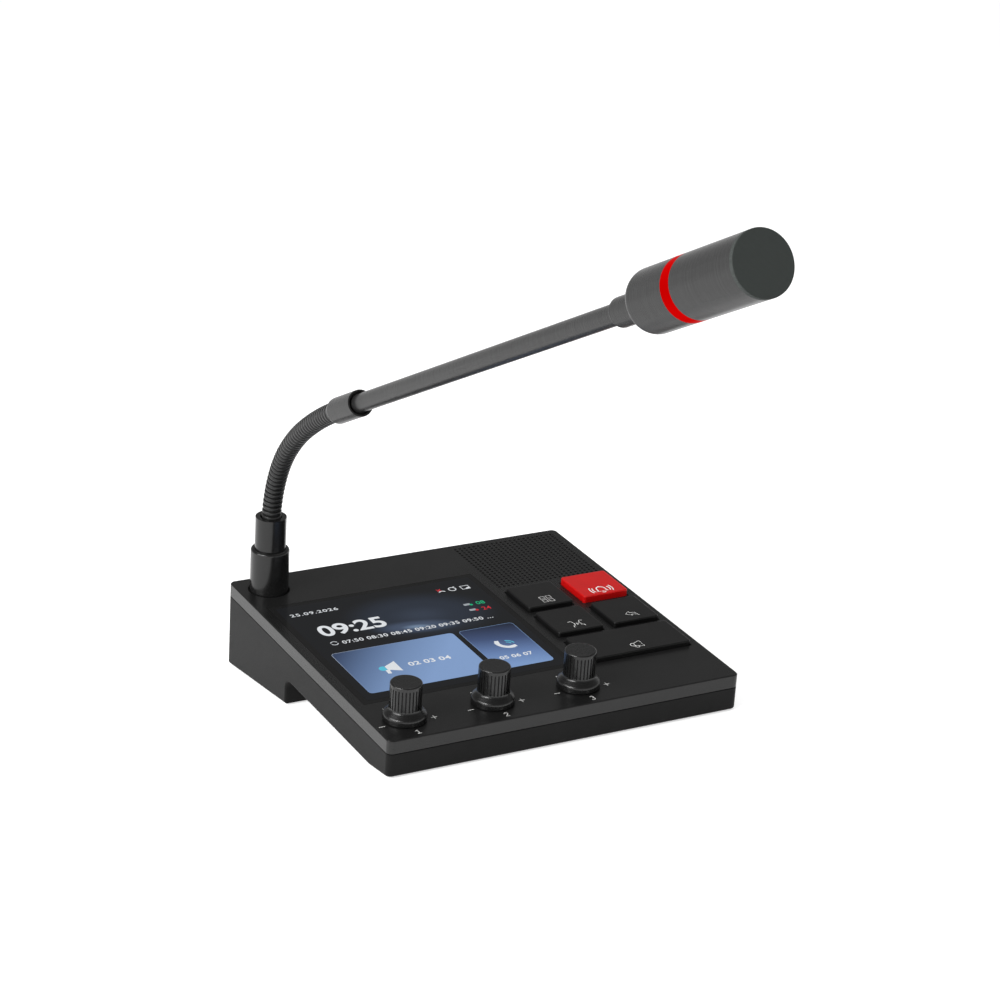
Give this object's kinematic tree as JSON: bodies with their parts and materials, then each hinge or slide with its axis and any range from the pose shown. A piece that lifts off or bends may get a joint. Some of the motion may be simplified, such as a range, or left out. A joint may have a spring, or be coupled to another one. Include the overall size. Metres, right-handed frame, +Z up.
{
  "type": "desktop paging microphone",
  "caption": "Sloped desktop paging console with touch display, keys, knobs and a gooseneck microphone with a light ring.",
  "frame": {"origin": "centre of the rear foot pad's contact face on the desk", "axes": "+Z up, +X to the operator's right, +Y away from the operator towards the rear of the case"},
  "size_m": [0.2, 0.498, 0.3148],
  "materials": {
    "case_black": "fine satin texture",
    "glass_dark": "polished",
    "screen": "lit display",
    "board_green": "solder mask",
    "key_black": "smooth",
    "key_red": "smooth",
    "knob_black": "satin",
    "steel": "bare",
    "cone_paper": "paper",
    "magnet_grey": "bare",
    "foam_black": "soft",
    "rubber_black": "matt",
    "insulator_black": "moulded",
    "contact_brass": "plated",
    "collar_black": "satin black",
    "neck_black": "satin black",
    "head_grey": "satin dark grey",
    "ring_red": "translucent, lit",
    "mesh_grey": "fine mesh"
  },
  "bodies": {
    "case": {"upper_shell": "case_black", "lower_case": "case_black", "front_foot": "rubber_black", "rear_foot": "rubber_black", "ballast_plate": "steel", "display_glass": "glass_dark", "display_module": "screen", "main_board": "board_green", "key_board": "board_green", "rear_board": "board_green", "dial_board": "board_green", "key_switches": "insulator_black", "dial_encoders": "steel", "dial_nuts": "steel", "speaker_gasket": "foam_black", "speaker_basket": "steel", "speaker_cone": "cone_paper", "speaker_magnet": "magnet_grey", "mic_socket": "insulator_black", "socket_pins": "contact_brass", "plug_shell": "collar_black", "plug_insert": "insulator_black", "network_jack": "insulator_black", "power_jack": "insulator_black", "audio_jack": "insulator_black", "case_screws": "steel", "ballast_screws": "steel", "board_screws": "steel"},
    "zone_key": {"key_zones": "key_black"},
    "alert_key": {"key_alert": "key_red"},
    "talk_key": {"key_talk": "key_black"},
    "back_key": {"key_back": "key_black"},
    "page_key": {"key_page": "key_black"},
    "dial_1": {"knob_1": "knob_black", "shaft_1": "steel"},
    "dial_2": {"knob_2": "knob_black", "shaft_2": "steel"},
    "dial_3": {"knob_3": "knob_black", "shaft_3": "steel"},
    "neck_base": {"neck_sleeve": "collar_black", "swivel_clip": "steel", "gooseneck": "neck_black", "neck_lead": "rubber_black"},
    "mic_arm": {"ferrule": "collar_black", "stem_tube": "head_grey", "stem_lead": "rubber_black", "head_boot": "head_grey", "head_rear_shell": "head_grey", "stem_nut": "steel", "light_ring": "ring_red", "head_front_shell": "head_grey", "front_mesh": "mesh_grey", "head_board": "board_green", "ring_leds": "insulator_black", "capsule": "steel", "capsule_holder": "rubber_black"}
  },
  "joints": [
    {"name": "zone_key_press", "type": "slide", "parent": "case", "child": "zone_key", "axis": [0, 0.1426, -0.9898], "range_m": [0, 0.0012], "stiffness_N_per_m": 800, "springref_m": -0.0006},
    {"name": "alert_key_press", "type": "slide", "parent": "case", "child": "alert_key", "axis": [0, 0.1426, -0.9898], "range_m": [0, 0.0012], "stiffness_N_per_m": 800, "springref_m": -0.0006},
    {"name": "talk_key_press", "type": "slide", "parent": "case", "child": "talk_key", "axis": [0, 0.1426, -0.9898], "range_m": [0, 0.0012], "stiffness_N_per_m": 800, "springref_m": -0.0006},
    {"name": "back_key_press", "type": "slide", "parent": "case", "child": "back_key", "axis": [0, 0.1426, -0.9898], "range_m": [0, 0.0012], "stiffness_N_per_m": 800, "springref_m": -0.0006},
    {"name": "page_key_press", "type": "slide", "parent": "case", "child": "page_key", "axis": [0, 0.1426, -0.9898], "range_m": [0, 0.0012], "stiffness_N_per_m": 800, "springref_m": -0.0006},
    {"name": "dial_1_turn", "type": "hinge", "parent": "case", "child": "dial_1", "pos_m": [-0.08205, -0.14291, 0.02303], "axis": [0, -0.1426, 0.9898], "range_deg": [-150, 150]},
    {"name": "dial_2_turn", "type": "hinge", "parent": "case", "child": "dial_2", "pos_m": [-0.0332, -0.14291, 0.02303], "axis": [0, -0.1426, 0.9898], "range_deg": [-150, 150]},
    {"name": "dial_3_turn", "type": "hinge", "parent": "case", "child": "dial_3", "pos_m": [0.01565, -0.14291, 0.02303], "axis": [0, -0.1426, 0.9898], "range_deg": [-150, 150]},
    {"name": "neck_turn", "type": "hinge", "parent": "case", "child": "neck_base", "pos_m": [-0.0836, 0.01585, 0.0459], "axis": [0, -0.1426, 0.9898], "range_deg": [-120, 120]},
    {"name": "neck_bend", "type": "hinge", "parent": "neck_base", "child": "mic_arm", "pos_m": [-0.0836, -0.02031, 0.13412], "axis": [-1, 0, 0], "range_deg": [-30, 60], "deforming": ["gooseneck", "neck_lead"]}
  ]
}
